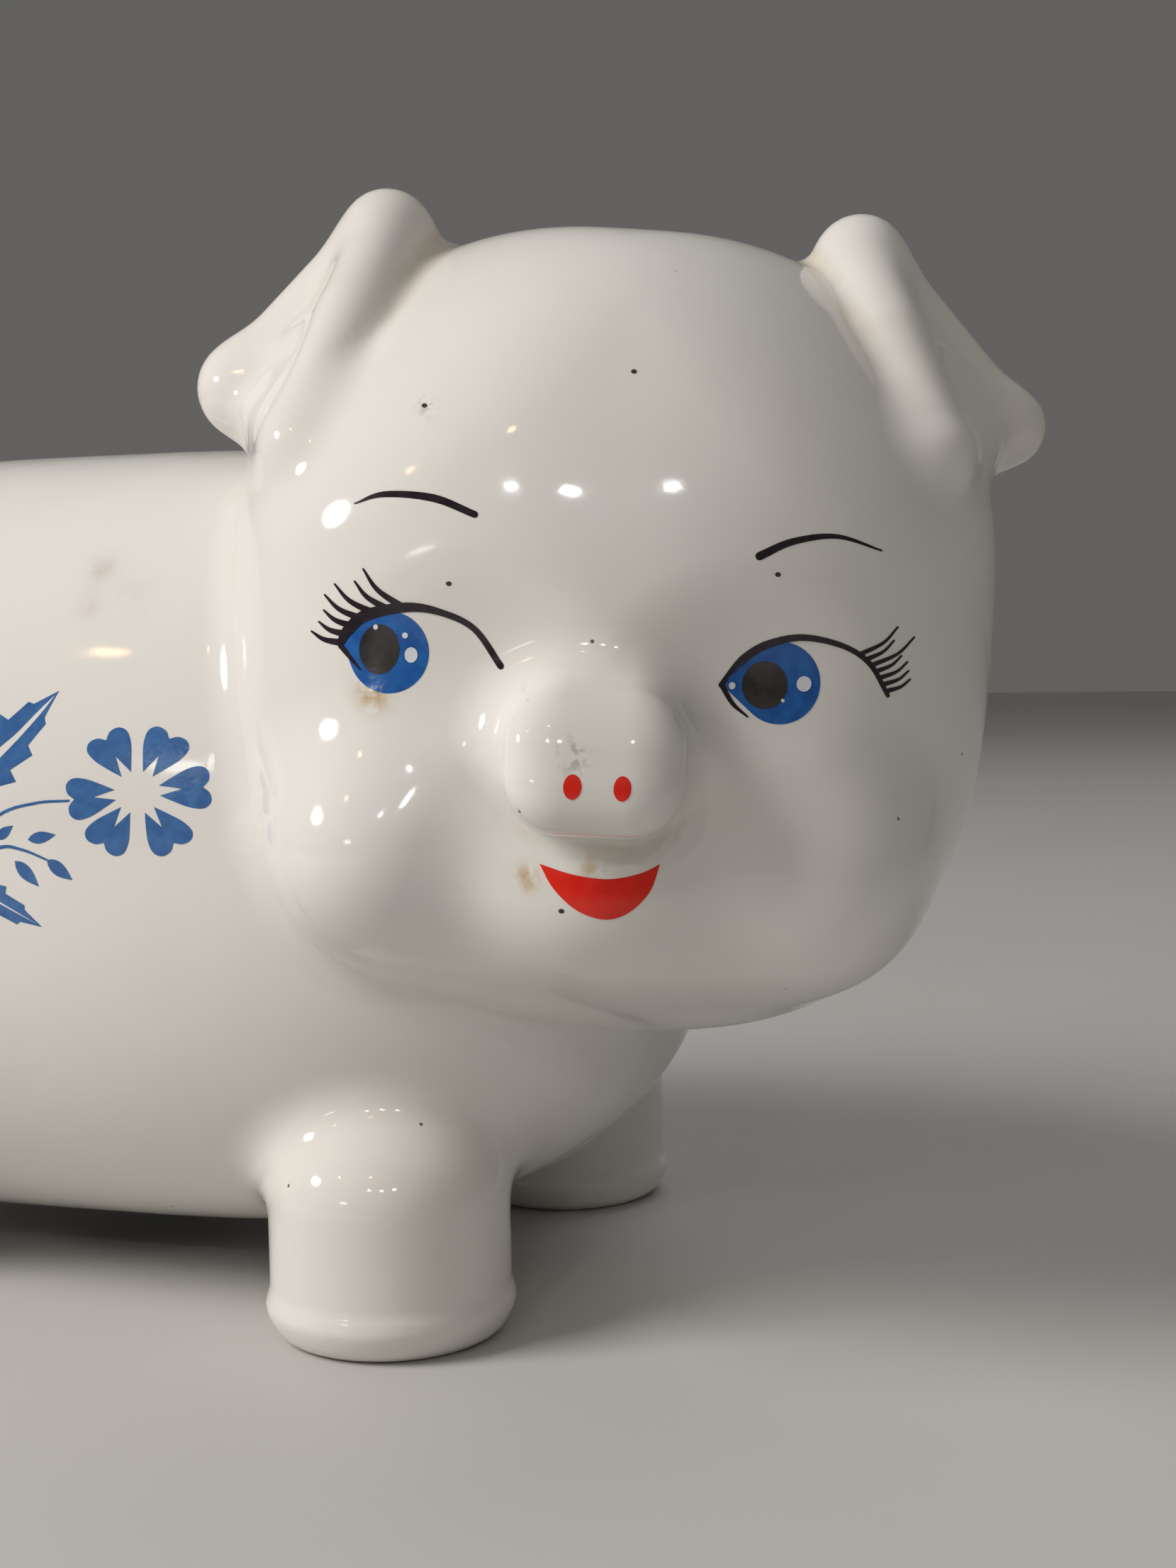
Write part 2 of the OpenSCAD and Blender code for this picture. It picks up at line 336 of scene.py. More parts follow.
def ear(h, side):
    """A folded flap: a thick edge from peak to tip, and a ridge that sweeps forwards over a knee."""
    q = h * np.array([side, 1, 1])
    peak, knee, foot, tip, tip_r = (EARS[side][key] for key in ("peak", "knee", "foot", "tip", "tip_r"))
    edge = capsule(q, peak, tip, EAR_EDGE_R, tip_r - EAR_TIP_STEP)
    edge = smin(edge, np.linalg.norm(q - np.array(tip), axis=1) - tip_r, EAR_TIP_FILLET)
    flap_above = thick_triangle(q, peak, tip, knee, EAR_FLAP_R)
    flap_below = thick_triangle(q, tip, knee, foot, EAR_FLAP_R)
    flap = smin(flap_above, flap_below, EAR_FLAP_FILLET)
    d = smin(edge, ear_ridge(q, peak, knee, foot), EAR_RIDGE_FILLET)
    d = smin(d, flap, EAR_FOLD_FILLET)
    fold = np.minimum.reduce([
        thick_triangle(q, peak, knee, EAR_HEM, EAR_INNER_R),
        thick_triangle(q, peak, EAR_HEM, EAR_CROWN, EAR_CROWN_R),
        thick_triangle(q, knee, foot, EAR_HEM, EAR_INNER_R),
        thick_triangle(q, EAR_CROWN, EAR_BACK, foot, EAR_BACK_R),
    ])
    return smin(d, fold, EAR_FOLD_FILLET)


def head(p):
    h = to_head(p)
    d = face(h)
    fillet = EAR_ROOT_FILLET + EAR_ROOT_FILLET_BELOW * (1 - ramp(h[:, 2], 36, 50))
    for side in (-1, 1):
        d = smin(d, ear(h, side), fillet)
    return d


# ---- the two glazed shells ----
CAVITY_FILLET = 9.0
RING_EDGE = 1.0
RING_FILLET = 1.5
BORE_EDGE = 1.0
SEAT_EDGE = 0.8
BELOW_FLOOR = -40.0
SLOT_EDGE = 2.4
OUTLET_EDGE = 1.0
NECK_FILLET = 6.0
NECK_TUCK = 0.6
NECK_TAPER = 0.15
NECK_REACH = 14.0
HEAD_OVERLAP = 3.0


def cavity(b, h, p):
    """The hollow inside both shells, less the ring of clay round the outlet."""
    hollow = smin(b, h, CAVITY_FILLET) + WALL
    ring = upright_cylinder(p, TRUNK_MID[0], 0, RING_R, 0, SEAT_Z + WALL, RING_EDGE)
    return smax(hollow, -ring, RING_FILLET)


def coin_slot(p):
    q = np.abs(p[:, :2] - TRUNK_MID[:2]) - SLOT_HALF
    flat = np.minimum(q.max(axis=1), 0) + np.linalg.norm(np.maximum(q, 0), axis=1)
    return np.maximum(flat, TRUNK_MID[2] - p[:, 2])


def outlet(p):
    bore = upright_cylinder(p, TRUNK_MID[0], 0, OUTLET_R, BELOW_FLOOR, TRUNK_MID[2], BORE_EDGE)
    seat = upright_cylinder(p, TRUNK_MID[0], 0, SEAT_R, BELOW_FLOOR, SEAT_Z, SEAT_EDGE)
    return np.minimum(bore, seat)


def body_piece(p):
    """The trunk, legs and tail, with a collar that tucks under the head's surface."""
    b = body(p)
    h = head(p)
    tucked = h + NECK_TUCK + NECK_TAPER * np.maximum(b, 0)
    d = np.maximum(smin(b, tucked, NECK_FILLET), b - NECK_REACH)
    d = smax(d, -coin_slot(p), SLOT_EDGE)
    d = smax(d, -outlet(p), OUTLET_EDGE)
    return np.maximum(d, -cavity(b, h, p))


def head_piece(p):
    """The head, cut off a little way inside the trunk."""
    b = body(p)
    h = head(p)
    return np.maximum(np.maximum(h, -cavity(b, h, p)), -(b + HEAD_OVERLAP))


# ---- meshes from fields ----
BLOCK = 8
BLOCK_REACH = 1.05
FAR = 10.0


def counted(counts):
    """Every whole-number place in a box of so many cells along each axis."""
    return np.stack(np.meshgrid(*(np.arange(n) for n in counts), indexing="ij"), -1).reshape(-1, 3)


def sampled(field, low, blocks, voxel):
    """The field on a grid, worked out point by point only in the blocks that the surface crosses."""
    corner = counted(blocks) * BLOCK
    middle = field(low + voxel * (corner + (BLOCK - 1) / 2))
    near = np.abs(middle) < BLOCK_REACH * voxel * BLOCK
    offset = counted([BLOCK] * 3)
    values = np.repeat(np.sign(middle)[:, None], BLOCK ** 3, axis=1) * FAR
    points = corner[near][:, None, :] + offset[None, :, :]
    values[near] = field(low + voxel * points.reshape(-1, 3)).reshape(-1, BLOCK ** 3)
    grid = values.reshape(*blocks, BLOCK, BLOCK, BLOCK).transpose(0, 3, 1, 4, 2, 5)
    return np.ascontiguousarray(grid.reshape(*(np.array(blocks) * BLOCK)), dtype=np.float32)


SLOPE_STEP = 0.08
GENTLEST_SLOPE = 0.2


def gradient(field, p):
    slopes = []
    for axis in range(3):
        shift = np.zeros(3)
        shift[axis] = SLOPE_STEP
        slopes.append((field(p + shift) - field(p - shift)) / (2 * SLOPE_STEP))
    return np.stack(slopes, axis=1)


def unit(v):
    return v / np.maximum(np.linalg.norm(v, axis=1), 1e-9)[:, None]


def onto(field, p, reach):
    """Points pulled onto the surface, never by more than reach."""
    slope = gradient(field, p)
    steepness = np.maximum((slope ** 2).sum(axis=1), GENTLEST_SLOPE)[:, None]
    step = -field(p)[:, None] * slope / steepness
    size = np.linalg.norm(step, axis=1)
    return p + step * np.minimum(1, reach / np.maximum(size, 1e-9))[:, None]


def field_mesh(name, field, low, high, voxel):
    """A closed mesh of the surface where the field is 0, with the field's own normals."""
    low = np.array(low, float)
    blocks = np.ceil((np.array(high) - low) / (voxel * BLOCK)).astype(int)
    grid = openvdb.FloatGrid(background=FAR)
    grid.copyFromArray(sampled(field, low, blocks, voxel))
    points, triangles, quads = grid.convertToPolygons(isovalue=0.0, adaptivity=0.0)
    points = low + voxel * points.astype(float)
    for _ in range(2):
        points = onto(field, points, 0.4 * voxel)
    faces = quads.tolist() + triangles.tolist()
    return solid(name, points, faces, unit(gradient(field, points)))


def rounded_piece(name, points, faces):
    """A smooth-shaded object from points in millimetres in the pig's frame."""
    mesh = bpy.data.meshes.new(name)
    mesh.from_pydata(((points + ORIGIN) * MM).tolist(), [], faces)
    mesh.polygons.foreach_set("use_smooth", [True] * len(mesh.polygons))
    piece = bpy.data.objects.new(name, mesh)
    bpy.context.scene.collection.objects.link(piece)
    return piece


def solid(name, points, faces, normals):
    """The same with its own normals."""
    piece = rounded_piece(name, points, faces)
    piece.data.normals_split_custom_set_from_vertices(normals.tolist())
    return piece


def point_values(piece, name, values):
    """A named value on every point, for a material to read."""
    layer = piece.data.attributes.new(name, "FLOAT", "POINT")
    layer.data.foreach_set("value", np.asarray(values, np.float32))


# ((across, up), radius, strength): across is u on the face, and x on the flank.
STAINS = (((-39.5, -12.6), 2.6, 1.0), ((-11.7, -41.3), 2.0, 0.9), ((-0.9, -39.0), 1.8, 0.7))
SMUDGES = (((-51.0, 146.0), 3.0, 0.6), ((-51.5, 138.5), 2.8, 0.4), ((-42.6, 140.5), 3.2, 0.42))
SCUFFS = (((-5.0, -19.8), 2.4, 0.8), ((-33.4, 36.0), 1.5, 0.6))
POOL_REACH = 4.0
POOL_FILLET = 6.0
POOL_BELOW_CROWN = 0.45
BARE_DEPTHS = (1.5, 3.0)
BARE_HEIGHTS = (0.1, 0.9)


def blobs(q, spots):
    """Soft round spots where the second coordinate is above 0: on the face, or on one flank."""
    total = np.zeros(len(q))
    for (across, up), r, strength in spots:
        away = (q[:, 0] - across) ** 2 + (q[:, 2] - up) ** 2
        total += strength * np.exp(-away / r ** 2) * (q[:, 1] > 0)
    return np.clip(total, 0, 1)


def outside(p):
    """The whole bank as one outer surface, without its hollow."""
    return smin(body(p), head(p), POOL_FILLET)


def glaze_values(piece):
    """Where the glaze pools in creases, where it is marked, and where the clay is bare: inside and
    under the feet."""
    flat = np.empty(len(piece.data.vertices) * 3)
    piece.data.vertices.foreach_get("co", flat)
    p = flat.reshape(-1, 3) / MM - ORIGIN
    normal = unit(gradient(outside, p))
    lifted = outside(p + POOL_REACH * normal)
    h = to_head(p)
    crown = POOL_BELOW_CROWN + (1 - POOL_BELOW_CROWN) * ramp(h[:, 2], 35, 55)
    flank = p * [1, -1, 1]
    under_feet = 1 - ramp(p[:, 2], *BARE_HEIGHTS)
    point_values(piece, "pool", np.clip(1 - lifted / POOL_REACH, 0, 1) * crown)
    point_values(piece, "stain", blobs(h, STAINS))
    point_values(piece, "scuff", blobs(h, SCUFFS))
    point_values(piece, "smudge", blobs(flank, SMUDGES))
    point_values(piece, "bare", np.maximum(ramp(-outside(p), *BARE_DEPTHS), under_feet))


# ---- flat outlines ----
def spline(points, steps=7):
    """A smooth curve through the points."""
    p = np.array(points, float)
    p = np.vstack([2 * p[0] - p[1], p, 2 * p[-1] - p[-2]])
    t = np.arange(steps)[:, None] / steps
    parts = []
    for a, b, c, d in zip(p[:-3], p[1:-2], p[2:-1], p[3:]):
        square = (2 * a - 5 * b + 4 * c - d) * t ** 2
        cube = (3 * b - a - 3 * c + d) * t ** 3
        parts.append(0.5 * (2 * b + (c - a) * t + square + cube))
    return np.vstack(parts + [p[-2:-1]])


def stroke(points, widths, steps=7):
    """The outline of a brush stroke along the points, with round ends."""
    line = spline(points, steps)
    along_line, along_widths = (np.linspace(0, 1, len(values)) for values in (line, widths))
    width = np.interp(along_line, along_widths, widths)[:, None] / 2
    along = np.gradient(line, axis=0)
    along /= np.linalg.norm(along, axis=1)[:, None]
    across = np.column_stack([-along[:, 1], along[:, 0]])
    turn = np.linspace(0, math.pi, 6)[1:-1, None]
    tip = line[-1] + width[-1] * (across[-1] * np.cos(turn) + along[-1] * np.sin(turn))
    start = line[0] + width[0] * (-across[0] * np.cos(turn) - along[0] * np.sin(turn))
    return np.vstack([line + across * width, tip, (line - across * width)[::-1], start])


def oval(middle, half, count=28):
    a = np.linspace(0, 2 * math.pi, count, endpoint=False)
    return np.column_stack([middle[0] + half[0] * np.cos(a), middle[1] + half[1] * np.sin(a)])


def teardrop(middle, r, corner, count=40):
    """A disc drawn out to a corner along its two tangents."""
    to_corner = np.array(corner) - np.array(middle)
    heading = math.atan2(to_corner[1], to_corner[0])
    open_angle = math.acos(r / np.linalg.norm(to_corner))
    a = np.linspace(heading + open_angle, heading + 2 * math.pi - open_angle, count)
    return np.vstack([[corner], np.column_stack([middle[0] + r * np.cos(a), middle[1] + r * np.sin(a)])])


LASH_BOW = 0.09


def lashes(first_root, last_root, first_angle, last_angle, lengths, widths, arch):
    """Lashes that fan out from a lid, each bowed a little upwards.

    The lid arches above the straight line between the first root and the last, so the lashes between
    them start up to arch further out."""
    for f, length in zip(np.linspace(0, 1, len(lengths)), lengths):
        chord = np.array(first_root) * (1 - f) + np.array(last_root) * f
        angle = math.radians(first_angle * (1 - f) + last_angle * f)
        way = np.array([math.cos(angle), math.sin(angle)])
        skipped = arch * 4 * f * (1 - f)
        root = chord + way * skipped
        length = length - skipped
        bow = np.array([abs(way[1]) * np.sign(way[0]), -abs(way[0])]) * LASH_BOW * length
        yield stroke([root, root + way * length * 0.55 + bow, root + way * length], widths, 5)


HALF_PETAL = ((0.31, 0.075), (0.50, 0.185), (0.70, 0.285), (0.88, 0.315), (0.985, 0.235),
              (0.985, 0.10), (0.90, 0.0))
PETAL_SLIT_END = (0.62, 0.0)


def petal(middle, size, angle):
    """A heart with its notch outwards and a slit from its inner end."""
    side = spline(HALF_PETAL, 4)
    profile = np.vstack([[PETAL_SLIT_END], side, (side * [1, -1])[:-1][::-1]])
    c, s = math.cos(math.radians(angle)), math.sin(math.radians(angle))
    turned = profile @ np.array([[c, s], [-s, c]])
    return np.array(middle) + turned * np.array(size)


def leaf(base, tip, width):
    """An almond leaf."""
    base, tip = np.array(base, float), np.array(tip, float)
    along = tip - base
    across = np.array([-along[1], along[0]]) / np.linalg.norm(along) * width / 2
    t = np.linspace(0, 1, 9)[:, None]
    swell = np.sin(math.pi * t ** 0.8)
    return np.vstack([base + along * t + across * swell, (base + along * t - across * swell)[1:-1][::-1]])


def toothed_leaf(base, tip, width, teeth):
    """The two halves of a toothed leaf, parted by a bare midrib."""
    base, tip = np.array(base, float), np.array(tip, float)
    along = tip - base
    across = np.array([-along[1], along[0]]) / np.linalg.norm(along)
    for side in (-1, 1):
        edge = [base + across * side * MIDRIB]
        for i in range(teeth):
            f = (i + 1) / (teeth + 1)
            out = width / 2 * math.sin(math.pi * f ** 0.7)
            edge.append(base + along * f + across * side * out)
            edge.append(base + along * (f + 0.02) + across * side * out * 0.62)
        yield np.array(edge + [tip, tip * 0.12 + base * 0.88 + across * side * MIDRIB])


# ---- printed decoration, flat in mm ----
MIDRIB = 0.3
FLOWER_MID = np.array([41.0, 104.5])
FLOWER_SIZE = (14.4, 12.2)
PETAL_ANGLES = (5, 62, 120, 187, 238, 303)


def spray():
    """The front half of the flower spray: forwards from the middle of the flank, and up from the floor."""
    for angle in PETAL_ANGLES:
        yield petal(FLOWER_MID, FLOWER_SIZE, angle)
    yield stroke([(27.0, 102.9), (20.0, 102.4), (12.0, 100.0), (2.0, 92.0), (0.5, 84.0)], (0.45, 0.6, 0.9))
    yield stroke([(22.2, 91.9), (17.0, 93.7), (12.0, 94.0), (3.0, 90.0)], (0.4, 0.6, 0.8))
    yield leaf((22.2, 91.9), (27.4, 88.2), 2.6)
    yield leaf((18.3, 95.6), (24.2, 96.6), 2.2)
    yield leaf((15.4, 91.6), (20.3, 86.9), 2.6)
    yield leaf((11.5, 95.6), (15.2, 98.2), 2.0)
    yield from toothed_leaf((3.0, 103.0), (24.0, 123.1), 13.0, 4)
    yield from toothed_leaf((3.0, 88.0), (20.5, 79.3), 7.5, 3)


def flower_outlines():
    for outline in spray():
        yield outline
        yield outline * [-1, 1]


# Places on the face are (u, v). Left and right are as the camera sees them. Prints that lie on top
# of others stand a little further out from the glaze.
ON_GLAZE = 0.06
IRIS_OUT = 0.05
PUPIL_OUT = 0.09
LID_OUT = 0.12
CORNER_OUT = 0.13
GLINT_OUT = 0.14
SPECK_OUT = 0.04
IRIS_R = 6.9
SPECK_HALF = (0.5, 0.4)
SPECK_PLACES = ((-5.5, -46.2), (-33.8, 36.2), (1.0, 43.6), (-27.5, 6.5), (26.8, 11.3))
LEFT_LID = ((-45.7, -4.5), (-44.4, -2.2), (-41.3, 0.5), (-34.4, 2.2), (-28.7, 1.7), (-22.9, -0.7),
            (-18.1, -6.6))
RIGHT_LID = ((18.6, -7.5), (22.0, -3.1), (26.0, -0.3), (31.9, 1.2), (38.8, 0.2), (43.7, -2.5),
             (47.4, -7.7))
LEFT_CORNER = ((-45.6, -4.9), (-43.9, -6.7), (-41.9, -8.7))
RIGHT_CORNER = ((18.9, -7.7), (20.8, -10.5), (23.4, -12.5))
LEFT_LASHES = (9.3, 8.4, 10.2, 9.8, 7.6, 6.4, 5.8)
RIGHT_LASHES = (7.9, 6.0, 9.4, 5.6, 5.9, 5.2, 4.6)
LEFT_BROW = ((-44.6, 19.1), (-39.5, 20.8), (-31.0, 20.5), (-23.8, 18.1))
RIGHT_BROW = ((23.5, 14.1), (29.0, 16.9), (36.5, 18.3), (44.5, 16.6))
LEFT_GLINTS = (((-33.3, -5.7), (1.1, 1.3)), ((-34.5, -2.5), (0.5, 0.5)), ((-39.6, -1.4), (0.4, 0.45)))
RIGHT_GLINTS = (((32.6, -6.5), (1.25, 1.3)), ((20.5, -7.5), (0.55, 0.6)), ((29.2, -9.5), (0.3, 0.3)))
NOSTRILS = (((-4.8, -24.6), (1.45, 2.0)), ((3.1, -24.4), (1.4, 2.0)))
UPPER_LIP = ((-9.6, -38.7), (-4.1, -40.0), (1.8, -40.4), (6.9, -39.3), (10.3, -37.6))
LOWER_LIP = ((10.3, -37.6), (8.8, -42.3), (5.4, -45.9), (1.5, -47.1), (-3.1, -45.8), (-7.1, -42.5),
             (-9.6, -38.7))


def left_lid():
    yield stroke(LEFT_LID, (1.3, 2.0, 2.0, 1.6, 1.1, 1.0, 1.1))
    yield from lashes((-35.2, 2.2), (-45.6, -4.4), 140, 164, LEFT_LASHES, (1.2, 0.8, 0.3), 2.0)


def right_lid():
    yield stroke(RIGHT_LID, (0.8, 1.4, 1.3, 1.1, 0.9, 0.9, 0.7))
    yield from lashes((42.1, -0.9), (47.3, -6.9), 38, 28, RIGHT_LASHES, (0.8, 0.5, 0.3), 0.4)


def mouth():
    return np.vstack([spline(UPPER_LIP)[:-1], spline(LOWER_LIP)[:-1]])


def face_prints():
    """name, outlines, material, height over the glaze."""
    flecks = [oval(place, SPECK_HALF, 10) for place in SPECK_PLACES]
    yield "left_iris", [teardrop((-37.2, -5.5), IRIS_R, (-45.2, -4.6))], "iris", IRIS_OUT
    yield "right_iris", [teardrop((28.5, -6.6), IRIS_R, (18.8, -7.4))], "iris", IRIS_OUT
    yield "left_pupil", [oval((-38.8, -5.1), (3.5, 4.2))], "pupil", PUPIL_OUT
    yield "right_pupil", [oval((26.0, -7.1), (3.9, 4.0))], "pupil", PUPIL_OUT
    yield "left_lid", list(left_lid()), "black", LID_OUT
    yield "right_lid", list(right_lid()), "black", LID_OUT
    yield "left_lid_corner", [stroke(LEFT_CORNER, (1.0, 0.7, 0.3))], "black", CORNER_OUT
    yield "right_lid_corner", [stroke(RIGHT_CORNER, (0.9, 0.7, 0.3))], "black", CORNER_OUT
    yield "left_brow", [stroke(LEFT_BROW, (0.25, 1.0, 1.3, 1.15))], "black", ON_GLAZE
    yield "right_brow", [stroke(RIGHT_BROW, (1.4, 1.0, 0.3))], "black", ON_GLAZE
    yield "left_glints", [oval(*glint) for glint in LEFT_GLINTS], "white", GLINT_OUT
    yield "right_glints", [oval(*glint) for glint in RIGHT_GLINTS], "white", GLINT_OUT
    yield "glaze_specks", flecks, "pupil", SPECK_OUT
    yield "nostrils", [oval(*nostril) for nostril in NOSTRILS], "red", ON_GLAZE
    yield "mouth", [mouth()], "red", ON_GLAZE


# ---- prints laid on the glaze ----
PRINT_DEPTH = 0.3
PRINT_MESH = 1.6
FACE_START = 95.0
FLANK_START = 110.0
WALKING_STEPS = 40


def inside(outline, p):
    """Which of the points p lie inside the outline."""
    a = outline[:, None, :]
    b = np.roll(outline, -1, axis=0)[:, None, :]
    spans = (a[..., 1] > p[:, 1]) != (b[..., 1] > p[:, 1])
    rise = np.where(b[..., 1] == a[..., 1], 1e-9, b[..., 1] - a[..., 1])
    crossing = a[..., 0] + (p[:, 1] - a[..., 1]) * (b[..., 0] - a[..., 0]) / rise
    return (spans & (p[:, 0] < crossing)).sum(axis=0) % 2 == 1


def inside_any(outlines, p):
    return np.any([inside(outline, p) for outline in outlines], axis=0)


def filled(outlines):
    """Flat points and triangles that fill the outlines."""
    corners = np.vstack(outlines)
    edges = []
    start = 0
    for outline in outlines:
        count = len(outline)
        edges += [(start + i, start + (i + 1) % count) for i in range(count)]
        start += count
    low, high = corners.min(axis=0), corners.max(axis=0)
    rulings = (np.arange(low[i], high[i], PRINT_MESH) for i in (0, 1))
    grid = np.stack(np.meshgrid(*rulings), -1).reshape(-1, 2)
    points = np.vstack([corners, grid[inside_any(outlines, grid)]])
    flat, _, triangles, _, _, _ = delaunay_2d_cdt([Vector(p) for p in points], edges, [], 0, 1e-4)
    flat = np.array([tuple(p) for p in flat])
    triangles = np.array(triangles)
    triangles = triangles[inside_any(outlines, flat[triangles].mean(axis=1))]
    used, triangles = np.unique(triangles, return_inverse=True)
    return flat[used], triangles.reshape(-1, 3)


def on_face(flat):
    """Where the flat points land on the face, straight along w, and the surface's way out there."""
    h = np.column_stack([flat[:, 0], np.full(len(flat), FACE_START), flat[:, 1]])
    for _ in range(WALKING_STEPS):
        h[:, 1] -= face(h)
    p = from_head(h)
    return p, unit(gradient(head, p))


def on_flank(side):
    """The same for the left flank, side 1, or the right one, side -1."""
    def place(flat):
        y = np.full(len(flat), side * FLANK_START)
        p = np.column_stack([TRUNK_MID[0] + flat[:, 0], y, flat[:, 1]])
        for _ in range(WALKING_STEPS):
            p[:, 1] -= side * body(p)
        return p, unit(gradient(body, p))
    return place


def print_on(name, outlines, place, lift):
    """A thin closed skin of colour on the glaze."""
    flat, triangles = filled(outlines)
    points, normals = place(flat)
    a, b, c = (points[triangles[:, i]] for i in range(3))
    if (np.cross(b - a, c - a) * normals[triangles[:, 0]]).sum() < 0:
        triangles = triangles[:, ::-1]
    count = len(points)
    top = [tuple(t) for t in triangles.tolist()]
    sides = {(t[i], t[(i + 1) % 3]) for t in top for i in range(3)}
    rim = [(a, b) for a, b in sides if (b, a) not in sides]
    faces = top + [(a + count, c + count, b + count) for a, b, c in top]
    faces += [(b, a, a + count, b + count) for a, b in sorted(rim)]
    skin = np.vstack([points + lift * normals, points - PRINT_DEPTH * normals])
    return solid(name, skin, faces, np.vstack([normals, -normals]))


# ---- rubber stopper ----
def lathe(name, profile, middle, count=128):
    """The (radius, height) points of the profile turned round an upright axis, where both ends lie."""
    a = np.arange(count) * 2 * math.pi / count
    ring = np.column_stack([np.cos(a), np.sin(a)])
    points = [(0, 0, profile[0][1])]
    for r, z in profile[1:-1]:
        points += [(x * r, y * r, z) for x, y in ring]
    points.append((0, 0, profile[-1][1]))
    rows = len(profile) - 2
    last = len(points) - 1
    faces = [(0, 1 + (j + 1) % count, 1 + j) for j in range(count)]
    for i in range(rows - 1):
        row, above = 1 + i * count, 1 + (i + 1) * count
        for j in range(count):
            after = (j + 1) % count
            faces.append((row + j, row + after, above + after, above + j))
    top = 1 + (rows - 1) * count
    faces += [(last, top + j, top + (j + 1) % count) for j in range(count)]
    return rounded_piece(name, np.array(points) + middle, faces)


FLANGE_GAP = 0.2
FLANGE_ROLL = 0.7
DIMPLE_R = 9.0
DIMPLE_DEEP = 0.8
GROOVES = (12.5, 15.5)
GROOVE_DEEP = 0.35
NECK_R = 15.45
NECK_BEAD = 0.3
NECK_BEADS = (1.4, 3.2, 5.0)
NECK_CHAMFER = (14.6, 13.6)


def stopper_profile(low, high, flange_r):
    """A flange with a rolled edge and two grooves below, and a neck with three sealing beads above."""
    top = SEAT_Z - FLANGE_GAP
    dimple_z = low + DIMPLE_DEEP
    profile = [(0, dimple_z), (DIMPLE_R - 1.2, dimple_z), (DIMPLE_R, low + 0.1), (DIMPLE_R + 0.5, low)]
    for r in GROOVES:
        bottom = low + GROOVE_DEEP
        profile += [(r - 0.6, low), (r - 0.3, bottom), (r + 0.3, bottom), (r + 0.6, low)]
    for angle in np.radians(np.linspace(-90, 80, 7)):
        r = flange_r - FLANGE_ROLL + FLANGE_ROLL * math.cos(angle)
        profile.append((r, (low + top) / 2 + (top - low) / 2 * math.sin(angle)))
    profile += [(NECK_R + 0.15, top), (NECK_R, top + 0.3)]
    for height in NECK_BEADS:
        z = top + height
        profile += [(NECK_R, z - 0.6), (NECK_R + NECK_BEAD, z), (NECK_R, z + 0.6)]
    return profile + [(NECK_CHAMFER[0], high), (NECK_CHAMFER[1], high), (0, high - 0.01)]


def make_stopper():
    low, high = (corner - ORIGIN for corner in box_mm("stopper"))
    middle = (low + high) / 2 * [1, 1, 0]
    return lathe("rubber_stopper", stopper_profile(low[2], high[2], (high[0] - low[0]) / 2), middle)


# ---- materials ----
def new_material(name, colour, roughness):
    material = bpy.data.materials.new(name)
    material.use_nodes = True
    shader = material.node_tree.nodes["Principled BSDF"]
    shader.inputs["Base Color"].default_value = (*colour, 1)
    shader.inputs["Roughness"].default_value = roughness
    return material, material.node_tree, shader


def add(tree, kind, inputs, **properties):
    """A new node. An input is another node's output, or a constant."""
    made = tree.nodes.new("ShaderNode" + kind)
    for key, value in properties.items():
        setattr(made, key, value)
    for key, value in inputs.items():
        if isinstance(value, bpy.types.NodeSocket):
            tree.links.new(value, made.inputs[key])
        else:
            made.inputs[key].default_value = value
    return made


def place_of(tree):
    return add(tree, "TexCoord", {}).outputs["Object"]


def noise(tree, scale, detail):
    inputs = {"Vector": place_of(tree), "Scale": scale, "Detail": detail}
    return add(tree, "TexNoise", inputs).outputs["Fac"]


def spread(tree, value, low, high, to_low=0.0, to_high=1.0):
    inputs = {"Value": value, "From Min": low, "From Max": high, "To Min": to_low, "To Max": to_high}
    return add(tree, "MapRange", inputs).outputs["Result"]


def times(tree, a, b):
    return add(tree, "Math", {0: a, 1: b}, operation="MULTIPLY").outputs[0]


def mixed(tree, factor, a, b):
    a, b = (c if isinstance(c, bpy.types.NodeSocket) else (*c, 1) for c in (a, b))
    return add(tree, "Mix", {0: factor, 6: a, 7: b}, data_type="RGBA").outputs[2]


def bumped(tree, shader, heights):
    """heights: (height, depth in metres) pairs, from the broadest to the finest."""
    normal = None
    for height, depth in heights:
        inputs = {"Height": height, "Distance": depth}
        if normal is not None:
            inputs["Normal"] = normal
        normal = add(tree, "Bump", inputs).outputs[0]
    tree.links.new(normal, shader.inputs["Normal"])


def specks(tree, scale, size, share):
    """1 in small dark flecks: the rare cells of a Voronoi pattern, close to their middles."""
    cells = add(tree, "TexVoronoi", {"Vector": place_of(tree), "Scale": scale})
    spot = spread(tree, cells.outputs["Distance"], size, size * 0.55)
    red = add(tree, "SeparateColor", {"Color": cells.outputs["Color"]}).outputs[0]
    return times(tree, spot, spread(tree, red, 1 - share, 1 - share + 0.001))


def waves(tree):
    """The broad unevenness of the casting, for bumped()."""
    return noise(tree, 38, 1), 0.00035


def value_on(tree, name):
    return add(tree, "Attribute", {}, attribute_name=name).outputs["Fac"]


